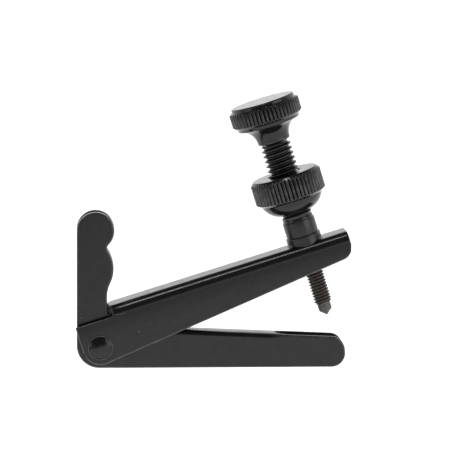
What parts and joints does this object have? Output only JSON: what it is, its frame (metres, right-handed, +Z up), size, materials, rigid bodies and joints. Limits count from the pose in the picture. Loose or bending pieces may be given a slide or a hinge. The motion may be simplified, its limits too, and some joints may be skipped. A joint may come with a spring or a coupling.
{
  "type": "string fine tuner",
  "caption": "Lever string adjuster for a bowed instrument: a folded frame is clamped to the tailpiece by a ring nut on a hollow post, and a knurled screw swings a forked lever.",
  "frame": {"origin": "where the post's axis meets the top face of the frame's web, the plane that the tailpiece is clamped against", "axes": "+Z up the post towards the knob, +X along the frame from the pivot to its free end, -Y and +Y the two cheeks"},
  "size_m": [0.0433, 0.0106, 0.0412],
  "materials": {
    "black_coat": "semi-gloss black coating on sheet steel, worn at the edges",
    "black_thread": "semi-gloss black finish over a cut thread",
    "black_knurl": "semi-gloss black finish over turned and knurled metal",
    "dark_steel": "dark oxidised steel thread with a bare turned point"
  },
  "bodies": {
    "frame": {"frame": "black_coat", "post": "black_thread", "pivot_rivet": "black_coat"},
    "screw": {"screw": "dark_steel"},
    "knob": {"knob": "black_knurl"},
    "ring_nut": {"ring_nut": "black_knurl"},
    "lever": {"lever": "black_coat"}
  },
  "joints": [
    {"name": "knob_turn", "type": "hinge", "parent": "screw", "child": "knob", "pos_m": [0, 0, 0.019], "axis": [0, 0, 1], "range_deg": [0, 4322]},
    {"name": "screw_travel", "type": "slide", "parent": "frame", "child": "screw", "axis": [0, 0, 1], "range_m": [0, 0.0054]},
    {"name": "lever_pivot", "type": "hinge", "parent": "frame", "child": "lever", "pos_m": [-0.0336, 0, -0.00535], "axis": [0, -1, 0], "range_deg": [0, 14.9]},
    {"name": "ring_nut_travel", "type": "slide", "parent": "frame", "child": "ring_nut", "axis": [0, 0, 1], "range_m": [-0.0009, 0.0048]}
  ],
  "couplings": [
    {"joint": "knob_turn", "follows": "screw_travel", "rad_per_m": 13963},
    {"joint": "lever_pivot", "follows": "screw_travel", "rad_per_m": 47.835}
  ]
}
